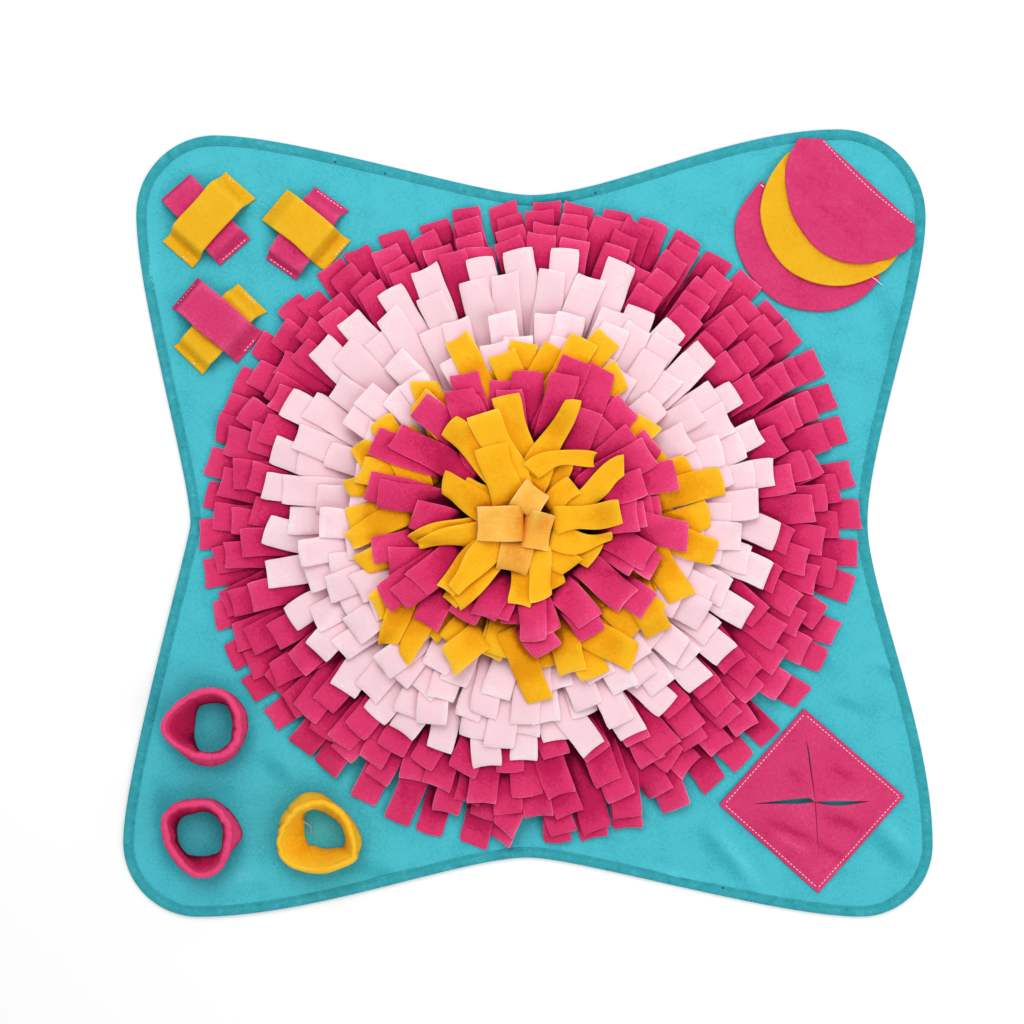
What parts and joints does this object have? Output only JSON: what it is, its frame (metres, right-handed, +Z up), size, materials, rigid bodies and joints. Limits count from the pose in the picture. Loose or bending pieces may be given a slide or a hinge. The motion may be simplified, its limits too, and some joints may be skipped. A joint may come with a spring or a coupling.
{
  "type": "snuffle mat",
  "caption": "Soft sniffing mat for a pet: bound felt base with a domed pile of fleece fringe, crossed tabs, half-round flaps, standing collars and a slit patch",
  "frame": {"origin": "middle of the mat's length and width, on the underside that lies on the floor", "axes": "+X to the right and +Y to the top of the mat as it is looked down on, with the crossed tabs top left and the slit patch bottom right; +Z up out of the pile"},
  "size_m": [0.6993, 0.6803, 0.0704],
  "materials": {
    "teal_felt": "matt pressed felt",
    "teal_tape": "matt woven binding tape",
    "magenta_felt": "matt pressed felt",
    "yellow_felt": "matt pressed felt",
    "magenta_fleece": "soft brushed fleece",
    "pink_fleece": "soft brushed fleece",
    "yellow_fleece": "soft brushed fleece",
    "amber_fleece": "soft brushed fleece"
  },
  "bodies": {
    "root": {"mat_panel": "teal_felt", "edge_binding": "teal_tape", "tab_a_under": "magenta_felt", "tab_a_over": "yellow_felt", "tab_b_under": "magenta_felt", "tab_b_over": "yellow_felt", "tab_c_under": "yellow_felt", "tab_c_over": "magenta_felt", "flap_bottom": "magenta_felt", "flap_middle": "yellow_felt", "flap_top": "magenta_felt", "slit_patch": "magenta_felt", "collar_a": "magenta_fleece", "collar_b": "magenta_fleece", "collar_c": "yellow_fleece", "fringe_outer_1": "magenta_fleece", "fringe_outer_2": "magenta_fleece", "fringe_outer_3": "magenta_fleece", "fringe_pink_1": "pink_fleece", "fringe_pink_2": "pink_fleece", "fringe_pink_3": "pink_fleece", "fringe_yellow_1": "yellow_fleece", "fringe_yellow_2": "yellow_fleece", "fringe_inner_1": "magenta_fleece", "fringe_inner_2": "magenta_fleece", "fringe_heart_1": "yellow_fleece", "fringe_heart_2": "yellow_fleece", "fringe_crown": "amber_fleece"}
  },
  "joints": []
}
